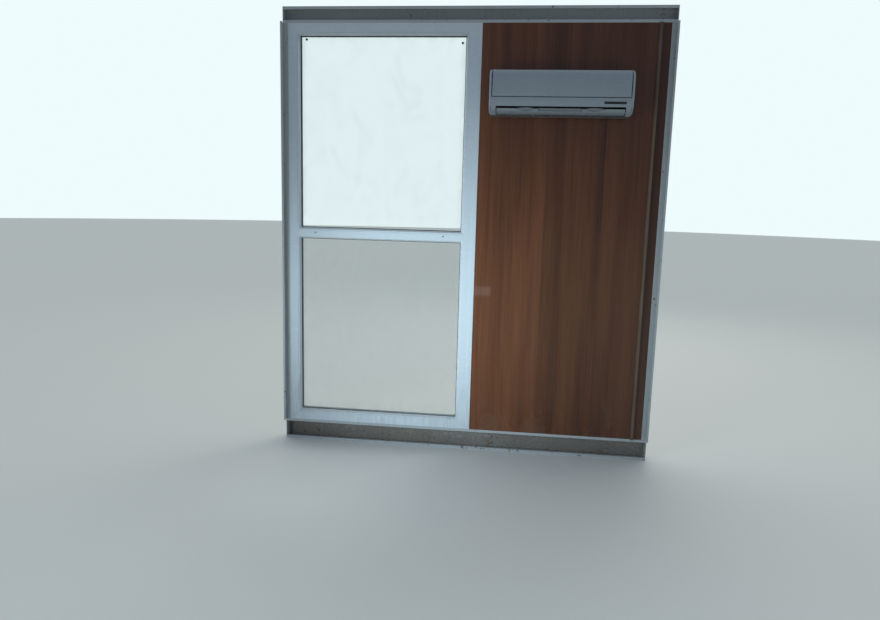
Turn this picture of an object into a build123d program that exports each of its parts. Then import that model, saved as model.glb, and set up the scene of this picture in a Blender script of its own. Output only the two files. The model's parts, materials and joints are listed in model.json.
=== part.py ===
from build123d import *
import os

# End wall of a portable site cabin: a welded steel portal that holds a full-height
# window and a lined panel, with an air conditioner's indoor unit on the panel.
# Millimetres. +X is to the right seen from inside the room, +Y points outdoors, +Z up.
# The origin is on the flat underside of the floor beam, at its mid-width and mid-depth.

# Cabin end
cabin_width = 2440
side_wall = 90
room_height = 2605
wall_depth = 80

# Steel portal
steel = 4
floor_beam_height = 140
roof_beam_height = 100
beam_lip = 18
upstand = 30
post_box = 35
side_flange = 50
flange_lip = 12
bend_radius = 3
bolt_radius = 9
anchor_spacing = 2200
wall_bolts = 4
wall_bolt_end = 102.5

# Window
window_width = 1212
frame_face = 55
bead_face = 18
bead_front = 8
bead_setback = 4
bead_nose = 6
outer_lip = 22
lip_chamfer = 6
transom_face = 36
transom_above_floor = 1285
glass_unit = 24
pane = 4
glass_clearance = 3
spacer_width = 12

# Wall panel beside the window
lining = 10
sheet = 1.5
rib_depth = 12
rib_pitch = 125
rib_crest = 40
rib_slope = 12
window_post_width = 40
window_post_wall = 3

# Trims
cover_trim_width = 30
cover_trim_overlap = 5
cover_trim = 4
corner_trim = 20
outer_trim = 2
outer_trim_overlap = 20
drip_reach = 24
drip_fall = 8
drip_upstand = 12
drip_nose = 16

# Air conditioner: placed by its gap to the cover trim and its drop below the ceiling.
# Its section is given as (depth from the wall, height above its underside).
ac_gap = 63
ac_below_ceiling = 303
ac_width = 850
ac_height = 262
ac_plate = 3
ac_plate_margin = 60
ac_foot = 20
ac_end = 14
ac_end_round = 10
ac_corner_round = 22
ac_proud = 2
moving_gap = 5
panel_sheet = 3
panel_foot = (195, 104)
panel_belly = (199, 158)
panel_shoulder = (196, 212)
panel_crown = (172, 257)
panel_return = 7
hinge = (172, 250)
knuckle_radius = 6
pin_radius = 3
pin_clearance = 0.1
pin_length = 8
fascia_top = (195, 99)
fascia_middle = (193, 72)
mouth_top = (187, 48)
mouth_bottom = (139, 0)
mouth_margin = 42
fan_centre = (100, 62)
fan_space = 42
fan_radius = 37
fan_core = 31
fan_blades = 18
fan_blade = 2
fan_blade_lean = 35
fan_discs = 5
fan_disc = 4
fan_shaft = 5
throat_start = (0.8, 0.6)
vane_span = (0.3, 0.75)
vane_depth = 10
vane_strip = 2
vane_sheet = 1.5
vane_pitch = 45
flap_chord = 46
flap_bow = 3
flap_sheet = 4
flap_gap = 6
crest_height = 8
crest_length = 118
crest_spacing = 404
crest_bar_height = 4
crest_bar_length = 250
crest_drop = 9
crest_proud = 6.5
display_length = 128
display_height = 15
display_side = 43
display_foot = 64
display_depth = 188
display_sheet = 3
pocket_back = 60
pocket_front = 155
pocket_floor = 112
pocket_ledge = panel_foot[0] - panel_return - moving_gap
top_rail = 22
grille_back = 30
grille_front = 140
grille_side = 35
grille_sheet = 5
grille_slot = 6
grille_bar = 12
grille_rows = 9
grille_columns = 5
coil_depth = 40
coil_gap = 4
filter_back = 128
filter_sheet = 3
filter_gap = 10
filter_border = 12
filter_bar = 3
filter_rows = 4
filter_columns = 7

# Places that follow from those sizes
cabin_side = cabin_width / 2
room_side = cabin_side - side_wall
y_in = -wall_depth / 2
y_out = wall_depth / 2
y_steel = y_out - steel
z_floor = floor_beam_height
z_ceiling = z_floor + room_height
z_top = z_ceiling + roof_beam_height
z_middle = (z_floor + z_ceiling) / 2
post_face = cabin_side - post_box
window_left = -post_face
window_right = window_left + window_width
panel_left = window_right + window_post_width
sight = frame_face + bead_face
rebate_out = y_steel - outer_lip
rebate_in = rebate_out - glass_unit
z_transom = z_floor + transom_above_floor
transom_top = z_transom + transom_face / 2
transom_foot = z_transom - transom_face / 2
glazing_left = window_left + frame_face
glazing_right = window_right - frame_face
trim_left = window_right - cover_trim_overlap
trim_right = trim_left + cover_trim_width
valley = y_steel - rib_depth
ac_left = trim_right + ac_gap
ac_right = ac_left + ac_width
ac_middle = (ac_left + ac_right) / 2
ac_bottom = z_ceiling - ac_below_ceiling - ac_height
east = Vector(1, 0, 0)
up = Vector(0, 0, 1)

finished = []


def keep(builder, name):
    """Label a finished piece and remember it for writing."""
    builder.part.label = name
    finished.append(builder.part)


def rectangle(low, high, mode=Mode.ADD):
    """A rectangle in the current sketch between two opposite corners."""
    with Locations(low):
        Rectangle(high[0] - low[0], high[1] - low[1], align=(Align.MIN, Align.MIN), mode=mode)


def polygon(*points):
    """A filled polygon in the current sketch, at the coordinates given."""
    Polygon(*points, align=None)


def slab(low, high):
    """A plain board in the current part between two opposite corners."""
    size = [b - a for a, b in zip(low, high)]
    with Locations(low):
        Box(*size, align=(Align.MIN, Align.MIN, Align.MIN))


# Floor beam and roof beam: lipped channels that are open towards the room
def channel(low, high, lap_low, lap_high):
    """A cross beam with closed ends and a strip that laps the wall's outer face."""
    with BuildPart() as beam:
        with BuildSketch(Plane.YZ.offset(-cabin_side)):
            polygon(
                (y_in, low), (y_out, low), (y_out, high), (y_in, high),
                (y_in, high - beam_lip), (y_in + steel, high - beam_lip),
                (y_in + steel, high - steel), (y_steel, high - steel),
                (y_steel, low + steel), (y_in + steel, low + steel),
                (y_in + steel, low + beam_lip), (y_in, low + beam_lip),
            )
        extrude(amount=cabin_width)
        slab((-cabin_side, y_in, low), (-cabin_side + steel, y_out, high))
        slab((cabin_side - steel, y_in, low), (cabin_side, y_out, high))
        slab((-room_side, y_steel, lap_low), (room_side, y_out, lap_high))
    return beam


floor_channel = channel(0, z_floor, z_floor, z_floor + upstand)
with BuildPart() as floor_beam:
    add(floor_channel.part)
    with BuildSketch(Plane.XY):
        with GridLocations(anchor_spacing, 0, 2, 1):
            Circle(bolt_radius)
    extrude(amount=steel, mode=Mode.SUBTRACT)
keep(floor_beam, "floor_beam")
keep(channel(z_ceiling, z_top, z_ceiling - upstand, z_ceiling), "roof_beam")

# Corner posts: a closed box, a leg that covers the wall's edge and a flange for the side wall
with BuildPart() as right_post:
    with BuildSketch(Plane.XY.offset(z_floor)) as post_section:
        rectangle((post_face, y_in), (cabin_side, y_out))
        rectangle((room_side, y_steel), (post_face, y_out))
        rectangle((cabin_side - steel, y_in - side_flange), (cabin_side, y_in))
        rectangle((cabin_side - flange_lip, y_in - side_flange),
                  (cabin_side, y_in - side_flange + steel))
        outer_corner = post_section.vertices().sort_by(Axis.Y)[-2:].sort_by(Axis.X)[-1]
        fillet(outer_corner, bend_radius)
        rectangle((post_face + steel, y_in + steel), (cabin_side - steel, y_steel), Mode.SUBTRACT)
    extrude(amount=room_height)
    wall_bolt_pitch = (room_height - 2 * wall_bolt_end) / (wall_bolts - 1)
    with BuildSketch(Plane.YZ.offset(cabin_side - steel)):
        with Locations((y_in - side_flange / 2, z_middle)):
            with GridLocations(0, wall_bolt_pitch, 1, wall_bolts):
                Circle(bolt_radius)
    extrude(amount=steel, mode=Mode.SUBTRACT)
keep(right_post, "right_corner_post")

with BuildPart() as left_post:
    add(mirror(right_post.part, about=Plane.YZ, mode=Mode.PRIVATE))
keep(left_post, "left_corner_post")


# Mitred bars: u runs from the rectangle's edge inwards, v runs along +Y
def sides(left, low, right, high):
    """Corner, inward direction, run and length of a rectangle's four sides."""
    return {
        "left": (Vector(left, 0, low), east, up, high - low),
        "head": (Vector(left, 0, high), -up, east, right - left),
        "right": (Vector(right, 0, high), -east, -up, high - low),
        "sill": (Vector(right, 0, low), up, -east, right - left),
    }


def mitred_bar(points, side):
    """A profile along one side of a rectangle, cut at 45 degrees at both ends."""
    corner, inward, run, length = side
    with BuildPart() as bar:
        with BuildSketch(Plane(origin=corner, x_dir=inward, z_dir=run)):
            polygon(*points)
        extrude(amount=length)
        split(bisect_by=Plane(origin=corner, z_dir=run - inward), keep=Keep.TOP)
        split(bisect_by=Plane(origin=corner + run * length, z_dir=-run - inward), keep=Keep.TOP)
    return bar


# Window frame: a stepped profile with the glazing rebate and a chamfered outer lip
frame_profile = (
    (0, y_in), (frame_face, y_in), (frame_face, rebate_out), (sight, rebate_out),
    (sight, y_steel - lip_chamfer), (sight - lip_chamfer, y_steel), (0, y_steel),
)
frame_names = {
    "left": "window_left_jamb", "head": "window_head",
    "right": "window_right_jamb", "sill": "window_sill",
}
for place, side in sides(window_left, z_floor, window_right, z_ceiling).items():
    keep(mitred_bar(frame_profile, side), frame_names[place])

with BuildPart() as transom:
    with BuildSketch(Plane.YZ.offset(glazing_left)):
        rectangle((y_in, transom_foot), (rebate_out, transom_top))
    extrude(amount=glazing_right - glazing_left)
    with BuildSketch(Plane.YZ.offset(window_left + sight)):
        polygon(
            (rebate_out, transom_foot - bead_face), (rebate_out, transom_top + bead_face),
            (y_steel - lip_chamfer, transom_top + bead_face),
            (y_steel, transom_top + bead_face - lip_chamfer),
            (y_steel, transom_foot - bead_face + lip_chamfer),
            (y_steel - lip_chamfer, transom_foot - bead_face),
        )
    extrude(amount=window_width - 2 * sight)
keep(transom, "window_transom")


# Glass units: two panes on a spacer, set against the outer lip and held by beads inside
bead_profile = (
    (0, y_in + bead_setback), (bead_front, y_in + bead_setback),
    (bead_face, rebate_in - bead_nose), (bead_face, rebate_in), (0, rebate_in),
)
spacer_profile = (
    (0, rebate_in + pane), (spacer_width, rebate_in + pane),
    (spacer_width, rebate_out - pane), (0, rebate_out - pane),
)


def mitred_ring(points, edges, name):
    """Four mitred bars round a rectangle, as one node."""
    bars = [mitred_bar(points, side) for side in sides(*edges).values()]
    with BuildPart() as ring:
        for bar in bars:
            add(bar.part)
    keep(ring, name)


def glaze(level, low, high):
    """One glass unit, its spacer and its beads in the opening between two heights."""
    opening = (glazing_left, low, glazing_right, high)
    glass_left = glazing_left + glass_clearance
    glass_right = glazing_right - glass_clearance
    glass_low = low + glass_clearance
    glass_high = high - glass_clearance
    with BuildPart() as glass:
        for front in (rebate_in, rebate_out - pane):
            slab((glass_left, front, glass_low), (glass_right, front + pane, glass_high))
    keep(glass, level + "_glass")
    mitred_ring(spacer_profile, (glass_left, glass_low, glass_right, glass_high),
                level + "_glass_spacer")
    mitred_ring(bead_profile, opening, level + "_glazing_beads")


glaze("lower", z_floor + frame_face, transom_foot)
glaze("upper", transom_top, z_ceiling - frame_face)

# Window post: a steel tube between the window and the panel
with BuildPart() as window_post:
    with BuildSketch(Plane.XY.offset(z_floor)):
        rectangle((window_right, y_in + lining), (panel_left, y_steel))
        rectangle((window_right + window_post_wall, y_in + lining + window_post_wall),
                  (panel_left - window_post_wall, y_steel - window_post_wall), Mode.SUBTRACT)
    extrude(amount=room_height)
keep(window_post, "window_post")

# Wall panel: lining board inside, insulation, and a ribbed sheet outside
with BuildPart() as lining_board:
    slab((window_right, y_in, z_floor), (post_face, y_in + lining, z_ceiling))
keep(lining_board, "lining_board")

with BuildPart() as insulation:
    slab((panel_left, y_in + lining, z_floor), (post_face, valley - sheet, z_ceiling))
keep(insulation, "insulation_core")


def ribbed_line(shift):
    """The sheet's section from the window post to the corner post, moved in depth."""
    span = post_face - panel_left
    ribs = int(span // rib_pitch)
    first = panel_left + (span - (ribs - 1) * rib_pitch) / 2
    points = [(panel_left, valley + shift)]
    for rib in range(ribs):
        centre = first + rib * rib_pitch
        points += [
            (centre - rib_crest / 2 - rib_slope, valley + shift),
            (centre - rib_crest / 2, y_steel + shift),
            (centre + rib_crest / 2, y_steel + shift),
            (centre + rib_crest / 2 + rib_slope, valley + shift),
        ]
    return points + [(post_face, valley + shift)]


with BuildPart() as cladding:
    with BuildSketch(Plane.XY.offset(z_floor)):
        polygon(*ribbed_line(0), *reversed(ribbed_line(-sheet)))
    extrude(amount=room_height)
keep(cladding, "ribbed_cladding")

# Trims inside the room
with BuildPart() as window_trim:
    slab((trim_left, y_in - cover_trim, z_floor), (trim_right, y_in, z_ceiling))
    front_edges = window_trim.edges().filter_by(Axis.Z).group_by(Axis.Y)[0]
    fillet(front_edges, cover_trim / 2)
keep(window_trim, "window_cover_trim")

with BuildPart() as corner_bead:
    with BuildSketch(Plane.XY.offset(z_floor)):
        with Locations((room_side, y_in)):
            Circle(corner_trim)
        rectangle((room_side - corner_trim, y_in), (room_side + corner_trim, y_out), Mode.SUBTRACT)
        rectangle((room_side, y_in - corner_trim), (room_side + corner_trim, y_in), Mode.SUBTRACT)
    extrude(amount=room_height)
keep(corner_bead, "corner_trim")

# Weather trims outside
outer_trim_left = window_right - outer_trim_overlap
outer_trim_right = panel_left + outer_trim_overlap
with BuildPart() as side_flashing:
    slab((outer_trim_left, y_steel, z_floor + upstand),
         (outer_trim_right, y_steel + outer_trim, z_ceiling - upstand))
keep(side_flashing, "outer_window_trim")

drip_foot = z_floor + sight - drip_upstand
with BuildPart() as drip_sill:
    with BuildSketch(Plane.YZ.offset(-room_side)):
        polygon(
            (y_steel, drip_foot - outer_trim), (y_steel, drip_foot + drip_upstand),
            (y_steel + outer_trim, drip_foot + drip_upstand), (y_steel + outer_trim, drip_foot),
            (y_steel + drip_reach, drip_foot - drip_fall),
            (y_steel + drip_reach, drip_foot - drip_fall - drip_nose),
            (y_steel + drip_reach - outer_trim, drip_foot - drip_fall - drip_nose),
            (y_steel + drip_reach - outer_trim, drip_foot - drip_fall - outer_trim),
        )
    extrude(amount=room_side + outer_trim_left)
keep(drip_sill, "drip_sill")


# Air conditioner
def ac_section(inset):
    """A sketch plane across the unit: x is depth from the wall, y is height."""
    return Plane(origin=(ac_right - inset, y_in, ac_bottom), x_dir=(0, -1, 0), z_dir=(-1, 0, 0))


def ac_span(inset):
    """The unit's width between two equal insets from its ends."""
    return ac_width - 2 * inset


def ac_slab(left, right, back, front, low, high, mode=Mode.ADD):
    """A board in the current part: insets from the two ends, depths and heights."""
    with BuildSketch(ac_section(right)) as section:
        rectangle((back, low), (front, high))
    extrude(section.sketch, amount=ac_width - left - right, mode=mode)


with BuildPart() as mounting_plate:
    ac_slab(ac_plate_margin, ac_plate_margin, 0, ac_plate, ac_foot, ac_height - ac_foot)
keep(mounting_plate, "ac_mounting_plate")

mouth = Vector(*mouth_top) - Vector(*mouth_bottom)
along_mouth = mouth.normalized()
out_of_mouth = Vector(along_mouth.Y, -along_mouth.X)
pivot = Vector(*mouth_bottom) + along_mouth * (flap_gap + flap_chord / 2)
throat = Vector(*fan_centre) + Vector(*throat_start) * fan_space


def holes(centre, inset):
    """Blind holes for a pin's two ends, in the walls at equal insets."""
    for start in (inset - pin_length, ac_width - inset):
        with BuildSketch(ac_section(start)) as section:
            with Locations((centre[0], centre[1])):
                Circle(pin_radius + pin_clearance)
        extrude(section.sketch, amount=pin_length, mode=Mode.SUBTRACT)


with BuildPart() as housing:
    with BuildSketch(ac_section(ac_end)):
        with BuildLine():
            Polyline(
                mouth_top, mouth_bottom, (ac_foot, 0), (ac_plate, ac_foot), (ac_plate, ac_height),
                (pocket_front, ac_height), (pocket_front, ac_height - top_rail),
                (pocket_back, ac_height - top_rail), (pocket_back, pocket_floor),
                (pocket_ledge, pocket_floor), (pocket_ledge, fascia_top[1]), fascia_top,
            )
            ThreePointArc(fascia_top, fascia_middle, mouth_top)
        make_face()
    extrude(amount=ac_span(ac_end))
    for start in (0, ac_width - ac_end):
        with BuildSketch(ac_section(start)):
            with BuildLine():
                belly = ThreePointArc(
                    (fascia_top[0] + ac_proud, fascia_top[1]),
                    (panel_belly[0] + ac_proud, panel_belly[1]),
                    (panel_shoulder[0] + ac_proud, panel_shoulder[1]),
                )
                TangentArc(belly @ 1, (pocket_front, ac_height), tangent=belly % 1)
                Polyline(
                    (pocket_front, ac_height), (ac_plate, ac_height), (ac_plate, ac_foot),
                    (ac_foot, 0), mouth_bottom, (mouth_top[0] + ac_proud, mouth_top[1]),
                    (fascia_top[0] + ac_proud, fascia_top[1]),
                )
            make_face()
        extrude(amount=ac_end)
    outlines = housing.edges().group_by(Axis.X)
    fillet([edge for rim in (outlines[0], outlines[-1]) for edge in rim
            if edge.center().Y < y_in - ac_plate], ac_end_round)
    with BuildSketch(Plane.XZ.offset(-y_in)):
        for left, middle in ((ac_left, ac_left + ac_corner_round),
                             (ac_right - ac_corner_round, ac_right - ac_corner_round)):
            rectangle((left, ac_bottom), (left + ac_corner_round, ac_bottom + ac_corner_round))
            with Locations((middle, ac_bottom + ac_corner_round)):
                Circle(ac_corner_round, mode=Mode.SUBTRACT)
    extrude(amount=panel_belly[0] + ac_proud, mode=Mode.SUBTRACT)
    with BuildSketch(ac_section(mouth_margin)):
        with Locations(fan_centre):
            Circle(fan_space)
        polygon(
            mouth_top, mouth_bottom, (fan_centre[0], fan_centre[1] - fan_space), fan_centre,
            (throat.X, throat.Y),
        )
    extrude(amount=ac_span(mouth_margin), mode=Mode.SUBTRACT)
    ac_slab(grille_side, grille_side, grille_back, grille_front,
            ac_height - top_rail, ac_height, Mode.SUBTRACT)
    ac_slab(ac_width - display_side - display_length, display_side, display_depth,
            fascia_top[0], display_foot, display_foot + display_height, Mode.SUBTRACT)
    holes(hinge, ac_end)
    holes((pivot.X, pivot.Y), mouth_margin)
keep(housing, "ac_housing")

with BuildPart() as grille:
    ac_slab(grille_side, grille_side, grille_back, grille_front,
            ac_height - grille_sheet, ac_height)
    slot_length = (ac_span(grille_side) - grille_bar) / grille_columns - grille_bar
    slot_pitch = (grille_front - grille_back - grille_bar) / grille_rows
    with BuildSketch(Plane.XY.offset(ac_bottom + ac_height - grille_sheet)):
        with Locations((ac_middle, y_in - (grille_back + grille_front) / 2)):
            with GridLocations(slot_length + grille_bar, slot_pitch, grille_columns, grille_rows):
                Rectangle(slot_length, grille_slot)
    extrude(amount=grille_sheet, mode=Mode.SUBTRACT)
keep(grille, "ac_intake_grille")

with BuildPart() as display:
    ac_slab(ac_width - display_side - display_length, display_side, display_depth,
            display_depth + display_sheet, display_foot, display_foot + display_height)
keep(display, "ac_display_window")

with BuildPart() as coil:
    ac_slab(ac_end, ac_end, pocket_back, pocket_back + coil_depth,
            pocket_floor, ac_height - top_rail - coil_gap)
keep(coil, "ac_coil")

filter_high = ac_height - top_rail - coil_gap
filter_long = (ac_width - 2 * ac_end - filter_gap) / 2
for name, left in (("ac_left_filter", ac_end), ("ac_right_filter", ac_end + filter_long + filter_gap)):
    with BuildPart() as screen:
        ac_slab(left, ac_width - left - filter_long, filter_back, filter_back + filter_sheet,
                pocket_floor, filter_high)
        cell_long = (filter_long - 2 * filter_border + filter_bar) / filter_columns
        cell_high = (filter_high - pocket_floor - 2 * filter_border + filter_bar) / filter_rows
        middle = (ac_left + left + filter_long / 2, ac_bottom + (filter_high + pocket_floor) / 2)
        with BuildSketch(Plane.XZ.offset(-y_in + filter_back)):
            with Locations(middle):
                with GridLocations(cell_long, cell_high, filter_columns, filter_rows):
                    Rectangle(cell_long - filter_bar, cell_high - filter_bar)
        extrude(amount=filter_sheet, mode=Mode.SUBTRACT)
    keep(screen, name)

with BuildPart() as fan:
    with BuildSketch(ac_section(mouth_margin + fan_disc)):
        with Locations(fan_centre):
            with PolarLocations((fan_radius + fan_core) / 2, fan_blades):
                Rectangle(fan_radius - fan_core, fan_blade, rotation=fan_blade_lean)
    extrude(amount=ac_span(mouth_margin + fan_disc))
    disc_pitch = (ac_span(mouth_margin + fan_disc) - fan_disc) / (fan_discs - 1)
    for disc in range(fan_discs):
        with BuildSketch(ac_section(mouth_margin + fan_disc + disc * disc_pitch)):
            with Locations(fan_centre):
                Circle(fan_radius)
        extrude(amount=fan_disc)
    with BuildSketch(ac_section(mouth_margin)):
        with Locations(fan_centre):
            Circle(fan_shaft)
    extrude(amount=ac_span(mouth_margin))
keep(fan, "ac_fan")

# Upright vanes hang in the outlet from a strip on the duct's upper wall
duct_wall = Vector(*mouth_top) - throat
into_duct = Vector(duct_wall.Y, -duct_wall.X).normalized()
vane_back = throat + duct_wall * vane_span[0]
vane_front = throat + duct_wall * vane_span[1]


def vane_section(drop):
    """The outline from the duct's upper wall down to a drop below it."""
    corners = (vane_back, vane_front, vane_front + into_duct * drop, vane_back + into_duct * drop)
    polygon(*[(corner.X, corner.Y) for corner in corners])


with BuildPart() as vanes:
    with BuildSketch(ac_section(mouth_margin)):
        vane_section(vane_strip)
    extrude(amount=ac_span(mouth_margin))
    vane_count = int(ac_span(mouth_margin) // vane_pitch)
    first_vane = (ac_width - (vane_count - 1) * vane_pitch - vane_sheet) / 2
    for row in range(vane_count):
        with BuildSketch(ac_section(first_vane + row * vane_pitch)):
            vane_section(vane_depth)
        extrude(amount=vane_sheet)
keep(vanes, "ac_air_vanes")

# The front panel hangs from a knuckle with a pin at each end
with BuildPart() as front_panel:
    with BuildSketch(ac_section(ac_end + moving_gap)):
        with BuildLine():
            front = ThreePointArc(panel_foot, panel_belly, panel_shoulder)
            TangentArc(front @ 1, panel_crown, tangent=front % 1)
        trace(line_width=panel_sheet)
        rectangle((panel_foot[0] - panel_return, panel_foot[1]),
                  (panel_foot[0], panel_foot[1] + panel_sheet))
        with Locations(hinge):
            Circle(knuckle_radius)
    extrude(amount=ac_span(ac_end + moving_gap))
    pin_end = ac_end - pin_length + pin_clearance
    with BuildSketch(ac_section(pin_end)):
        with Locations(hinge):
            Circle(pin_radius)
    extrude(amount=ac_span(pin_end))
keep(front_panel, "ac_front_panel")

# The flap closes the mouth and turns on pins at mid-chord; two lens-shaped pads and a bar
# stand proud of it and rise above its upper edge
with BuildPart() as flap:
    half = along_mouth * (flap_chord / 2)
    with BuildSketch(ac_section(mouth_margin + moving_gap)):
        with BuildLine():
            ThreePointArc(pivot - half, pivot + out_of_mouth * flap_bow, pivot + half)
        trace(line_width=flap_sheet)
    extrude(amount=ac_span(mouth_margin + moving_gap))
    tip = pivot + half
    tip_point = Vector(ac_middle, y_in - tip.X, ac_bottom + tip.Y)
    crest_plane = Plane(origin=tip_point, x_dir=east, z_dir=(0, -out_of_mouth.X, out_of_mouth.Y))
    crests = [(centre - crest_length / 2, centre, centre + crest_length / 2)
              for centre in (-crest_spacing / 2, crest_spacing / 2)]
    with BuildSketch(crest_plane):
        for start, centre, end in crests:
            with BuildLine():
                ThreePointArc((start, 0), (centre, crest_height), (end, 0))
                ThreePointArc((end, 0), (centre, -crest_drop), (start, 0))
            make_face()
        rectangle((-crest_bar_length / 2, -crest_drop), (crest_bar_length / 2, crest_bar_height))
    extrude(amount=crest_proud)
    pin_end = mouth_margin - pin_length + pin_clearance
    with BuildSketch(ac_section(pin_end)):
        with Locations((pivot.X, pivot.Y)):
            Circle(pin_radius)
    extrude(amount=ac_span(pin_end))
keep(flap, "ac_louvre_flap")

os.makedirs("parts", exist_ok=True)
for piece in finished:
    export_step(piece, "parts/" + piece.label + ".step")
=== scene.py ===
import json
import math

import bpy
import bmesh
from bpy.props import FloatProperty, FloatVectorProperty, PointerProperty
from mathutils import Euler, Matrix, Vector


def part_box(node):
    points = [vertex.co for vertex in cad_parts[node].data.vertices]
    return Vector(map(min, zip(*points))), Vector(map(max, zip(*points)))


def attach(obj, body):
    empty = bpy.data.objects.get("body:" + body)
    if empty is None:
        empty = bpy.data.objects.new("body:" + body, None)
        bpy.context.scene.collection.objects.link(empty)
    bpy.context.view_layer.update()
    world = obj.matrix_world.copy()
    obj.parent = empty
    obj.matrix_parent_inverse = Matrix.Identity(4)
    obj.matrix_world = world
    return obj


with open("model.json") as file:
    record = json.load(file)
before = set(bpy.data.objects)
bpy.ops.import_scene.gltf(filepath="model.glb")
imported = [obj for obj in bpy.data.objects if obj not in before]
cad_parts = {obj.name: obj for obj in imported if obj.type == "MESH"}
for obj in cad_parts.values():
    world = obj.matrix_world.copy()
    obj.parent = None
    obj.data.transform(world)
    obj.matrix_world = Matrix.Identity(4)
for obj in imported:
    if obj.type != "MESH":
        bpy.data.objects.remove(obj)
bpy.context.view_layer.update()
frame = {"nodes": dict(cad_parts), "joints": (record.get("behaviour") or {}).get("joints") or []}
nodes = frame["nodes"]

bl_info = {
    "name": "Site Cabin End Wall",
    "version": (1, 0, 0),
    "blender": (4, 5, 0),
    "location": "3D View > Sidebar > Site Cabin",
    "description": "Finishes, fixings and a plain studio for the end wall of a site cabin",
    "category": "Object",
}

MM = 0.001
OUTDOORS = Vector((0, 1, 0))
INDOORS = Vector((0, -1, 0))
UP = Vector((0, 0, 1))
EAST = Vector((1, 0, 0))

# Fixed limits, steps and counts
JOIN_DISTANCE = 0.01 * MM
FLAT_ANGLE = math.radians(0.5)
EDGE_ANGLE = math.radians(32)
SMOOTH_ANGLE = math.radians(40)
RIPPLE_PITCH = 4 * MM
RIPPLE_STEPS = 4
RIPPLE_START = 0.3
BEAD_FACETS = 6
BEAD_RISE = 0.42
LENS_STEPS = 12
# How much the painted shadow under a lens pad narrows towards its ends
SHADOW_TAPER = 0.6
SHEET_SCREW_ROWS = 4
FLASHING_RIVETS = 9
DRIP_RIVETS = 6
FLOOR_SIDES = 96
SENSOR_WIDTH = 36


# Settings
def colour(name, description, *default):
    """A colour setting, in linear light."""
    return FloatVectorProperty(name=name, description=description, default=default, size=3,
                               min=0, max=1, subtype="COLOR")


def length(name, description, default):
    """A length setting, in metres."""
    return FloatProperty(name=name, description=description, default=default, min=0,
                         precision=4, unit="LENGTH", subtype="DISTANCE")


def turn(name, description, degrees):
    """An angle setting."""
    return FloatProperty(name=name, description=description, default=math.radians(degrees),
                         subtype="ANGLE", unit="ROTATION")


def place(name, description, *default):
    """A point or an offset, in metres."""
    return FloatVectorProperty(name=name, description=description, default=default,
                               size=len(default), precision=4, unit="LENGTH", subtype="XYZ")


def amount(name, description, default, low, high):
    """A plain number."""
    return FloatProperty(name=name, description=description, default=default, min=low, max=high)


class SiteCabinColours(bpy.types.PropertyGroup):
    """Colours of the wall's finishes."""

    steel: colour("Steel paint", "Paint on the posts and beams", 0.46, 0.49, 0.49)
    sheet: colour("Sheet paint", "Coating on the ribbed sheet and trims", 0.60, 0.61, 0.58)
    frame: colour("Window frame", "Bluish white window plastic", 0.66, 0.73, 0.77)
    wood_dark: colour("Dark grain", "Darkest tone of the lining's print", 0.044, 0.0142, 0.0058)
    wood_middle: colour("Middle grain", "Middle tone of the lining's print", 0.113, 0.0375, 0.0140)
    wood_light: colour("Light grain", "Lightest tone of the lining's print", 0.190, 0.0685, 0.0262)
    rubbed: colour("Rubbed print", "Tone of the pale patch on the lining", 0.42, 0.30, 0.27)
    corner: colour("Corner trim", "Brown trim between two linings", 0.17, 0.105, 0.07)
    # Off-white shell plastic darkened and blued: its own colour with painted shade
    unit: colour("Unit shell", "Shell of the air conditioner", 0.32, 0.36, 0.39)
    # Painted shade: dark colour laid on the air conditioner's undersides
    underside_shade: colour("Soot", "Dark film on the air conditioner's undersides", 0.050, 0.058, 0.065)
    inside: colour("Unit inside", "Fan and filter frames", 0.03, 0.033, 0.036)
    display: colour("Display", "Smoked display window", 0.008, 0.010, 0.012)
    rubber: colour("Rubber", "Gaskets and glass pads", 0.012, 0.013, 0.014)
    metal: colour("Bare metal", "Zinc, aluminium and steel", 0.55, 0.56, 0.57)
    rust: colour("Rust", "Rust where the paint is chipped", 0.13, 0.035, 0.010)
    old_rust: colour("Old rust", "Darkest rust in a chip", 0.03, 0.012, 0.006)
    dust: colour("Dust", "Pale dust on ledges", 0.36, 0.32, 0.26)
    film: colour("Glass dust", "Thin film of dust on the panes", 0.55, 0.56, 0.54)
    grime: colour("Grime", "Faint grease on the plastic", 0.20, 0.18, 0.15)
    mud: colour("Mud", "Splashes low on the outside", 0.15, 0.105, 0.068)
    foam: colour("Insulation", "Foam inside the wall", 0.75, 0.72, 0.52)
    sealant: colour("Sealant", "Weathered sealant round the window", 0.50, 0.51, 0.50)


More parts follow.
